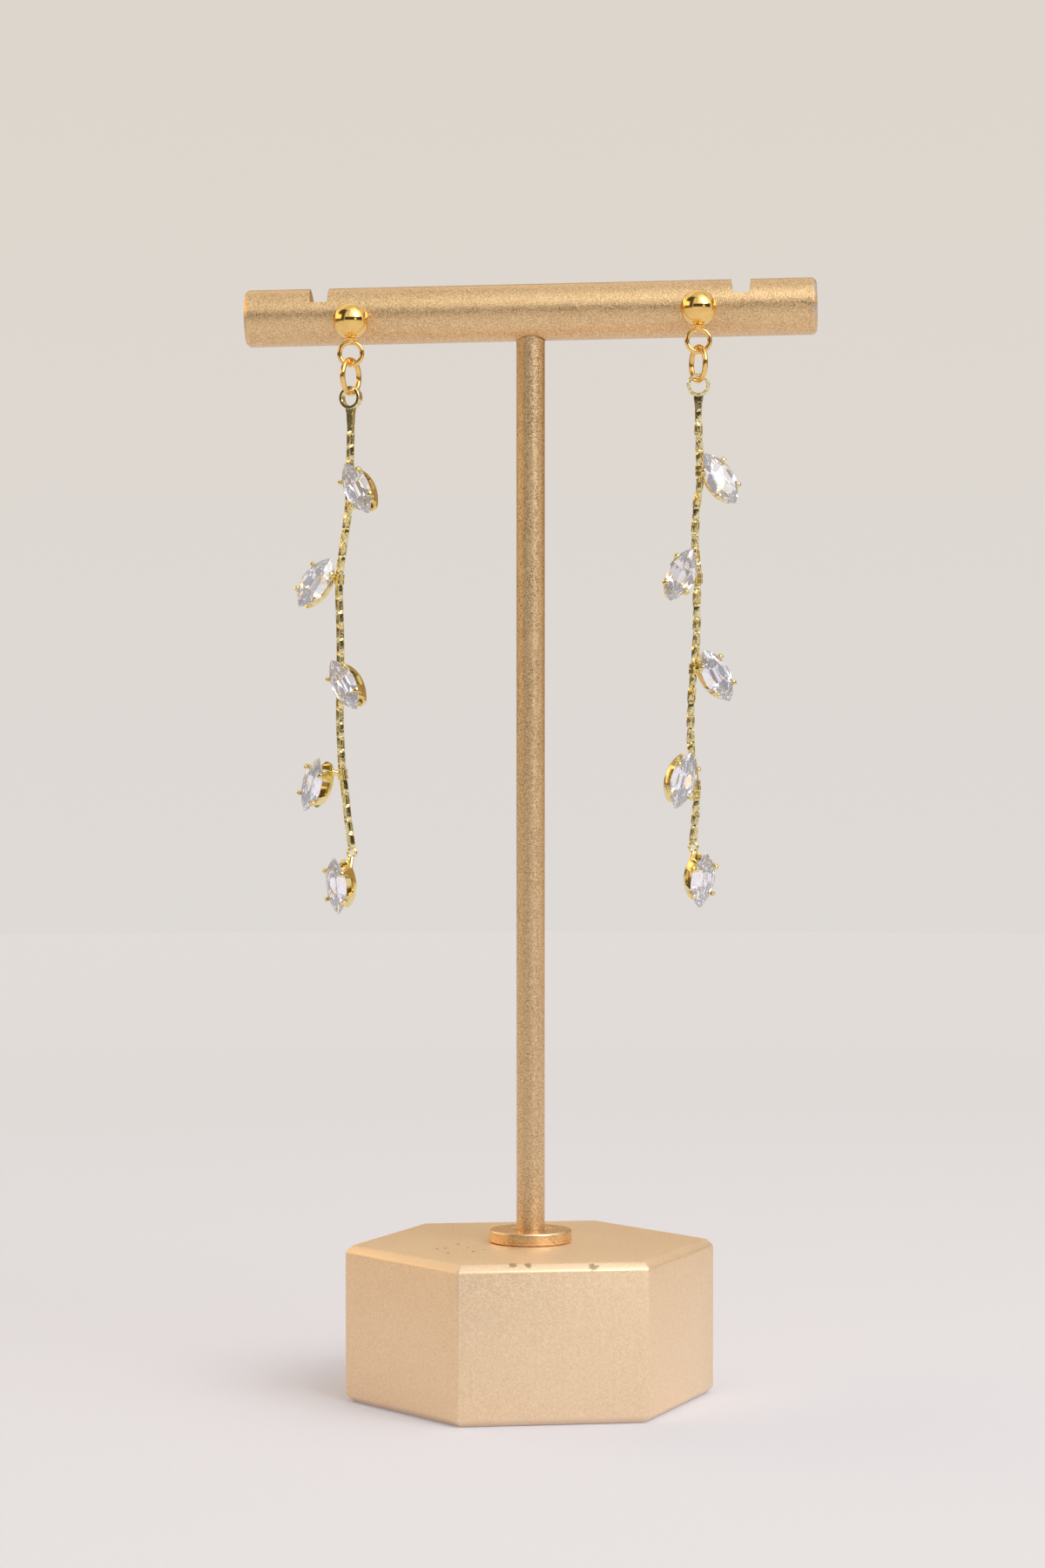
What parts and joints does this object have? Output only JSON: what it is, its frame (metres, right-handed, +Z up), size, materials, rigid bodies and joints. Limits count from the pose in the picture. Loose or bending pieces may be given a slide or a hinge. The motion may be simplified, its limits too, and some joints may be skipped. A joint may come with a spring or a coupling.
{
  "type": "pair of dangle earrings on a T-bar earring stand",
  "caption": "Long dangle earrings with ball studs, chains and marquise stones in prong settings, hung on a notched T-bar stand with a hexagonal base.",
  "frame": {"origin": "centre of the hexagonal base's underside, under the pole", "axes": "+Z up along the pole, +X along the bar, -Y towards the front, where the earrings hang"},
  "size_m": [0.0602, 0.037, 0.1182],
  "materials": {
    "stand_gold": "sand-blasted champagne gold plating, satin, lightly chipped at the edges",
    "polished_gold": "mirror-polished warm gold plating",
    "chain_gold": "bright pale yellow gold plating on faceted links",
    "setting_gold": "bright yellow gold plating, tumbled",
    "clear_stone": "clear faceted cubic zirconia"
  },
  "bodies": {
    "root": {"stand_base": "stand_gold", "stand_flange": "stand_gold", "stand_pole": "stand_gold", "stand_bar": "stand_gold", "left_ball_stud": "polished_gold", "left_ear_nut": "polished_gold", "left_jump_ring": "polished_gold", "left_end_ring": "chain_gold", "left_chain": "chain_gold", "left_setting_1": "setting_gold", "left_setting_2": "setting_gold", "left_setting_3": "setting_gold", "left_setting_4": "setting_gold", "left_setting_5": "setting_gold", "left_stone_1": "clear_stone", "left_stone_2": "clear_stone", "left_stone_3": "clear_stone", "left_stone_4": "clear_stone", "left_stone_5": "clear_stone", "right_ball_stud": "polished_gold", "right_ear_nut": "polished_gold", "right_jump_ring": "polished_gold", "right_end_ring": "chain_gold", "right_chain": "chain_gold", "right_setting_1": "setting_gold", "right_setting_2": "setting_gold", "right_setting_3": "setting_gold", "right_setting_4": "setting_gold", "right_setting_5": "setting_gold", "right_stone_1": "clear_stone", "right_stone_2": "clear_stone", "right_stone_3": "clear_stone", "right_stone_4": "clear_stone", "right_stone_5": "clear_stone"}
  },
  "joints": []
}
